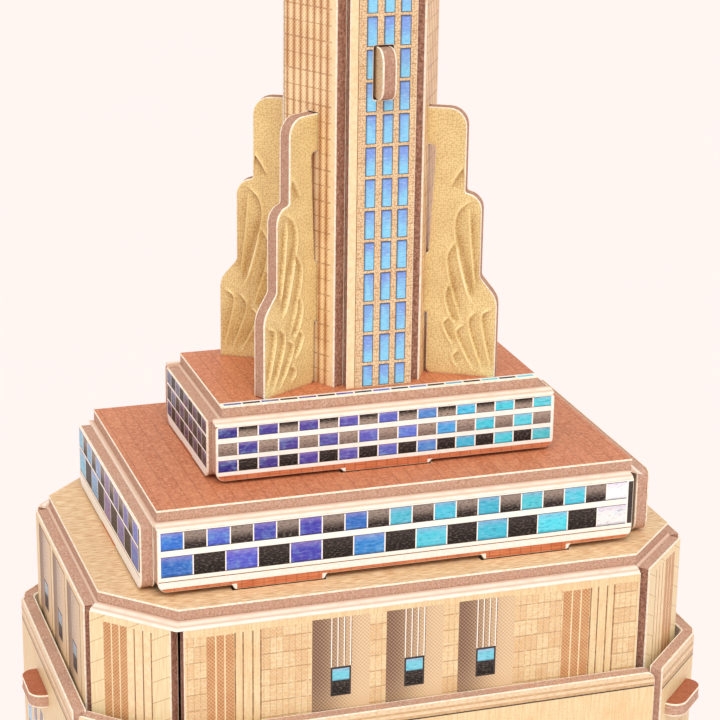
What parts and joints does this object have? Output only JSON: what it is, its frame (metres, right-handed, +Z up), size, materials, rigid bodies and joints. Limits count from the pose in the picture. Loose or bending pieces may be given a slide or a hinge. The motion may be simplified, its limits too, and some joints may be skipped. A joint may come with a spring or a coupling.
{
  "type": "miniature landmark model",
  "caption": "Slot-together souvenir tower of foam-core board: stepped base, chamfered shaft, folded window tiers, hexagonal mast with stepped wings, crossed-blade antenna.",
  "frame": {"origin": "centre of the base board's underside, where the model rests", "axes": "+Z up along the tower, -Y towards the front with the entrance and the visible window panel, +X to the right seen from the front"},
  "size_m": [0.232, 0.148, 0.505],
  "materials": {
    "base_print": "satin",
    "plain_board": "matte",
    "brown_roof_print": "satin",
    "gold_emboss_print": "satin",
    "foil_window_print": "gloss",
    "antenna_print": "satin",
    "cream_stone_print": "satin"
  },
  "bodies": {
    "root": {"base_board": "base_print", "podium_front_wall": "cream_stone_print", "podium_back_wall": "cream_stone_print", "podium_left_wall": "cream_stone_print", "podium_right_wall": "cream_stone_print", "podium_roof": "brown_roof_print", "podium_long_brace": "plain_board", "podium_cross_brace_left": "plain_board", "podium_cross_brace_right": "plain_board", "front_portal": "cream_stone_print", "back_portal": "cream_stone_print", "lower_front_wall": "cream_stone_print", "lower_back_wall": "cream_stone_print", "lower_left_wall": "cream_stone_print", "lower_right_wall": "cream_stone_print", "lower_roof": "brown_roof_print", "lower_long_brace": "plain_board", "lower_cross_brace": "plain_board", "middle_front_wall": "cream_stone_print", "middle_back_wall": "cream_stone_print", "middle_left_wall": "cream_stone_print", "middle_right_wall": "cream_stone_print", "middle_roof": "brown_roof_print", "middle_long_brace": "plain_board", "middle_cross_brace": "plain_board", "shaft_front_wall": "cream_stone_print", "shaft_back_wall": "cream_stone_print", "shaft_left_wall": "cream_stone_print", "shaft_right_wall": "cream_stone_print", "shaft_left_bay": "cream_stone_print", "shaft_right_bay": "cream_stone_print", "shaft_floor": "brown_roof_print", "shaft_long_brace": "plain_board", "shaft_cross_brace_left": "plain_board", "shaft_cross_brace_right": "plain_board", "deck_tier": "cream_stone_print", "deck_brace_left": "plain_board", "deck_brace_right": "plain_board", "band_tier": "foil_window_print", "band_brace": "plain_board", "cap_tier": "foil_window_print", "mast_front_wall": "cream_stone_print", "mast_back_wall": "cream_stone_print", "mast_brace": "cream_stone_print", "mast_roof": "brown_roof_print", "wing_front_left": "gold_emboss_print", "wing_front_right": "gold_emboss_print", "wing_back_left": "gold_emboss_print", "wing_back_right": "gold_emboss_print", "crown_wall": "cream_stone_print", "crown_roof": "brown_roof_print", "dome_lower_disc": "cream_stone_print", "dome_upper_disc": "cream_stone_print", "antenna_long_blade": "antenna_print", "antenna_cross_blade": "antenna_print"}
  },
  "joints": []
}
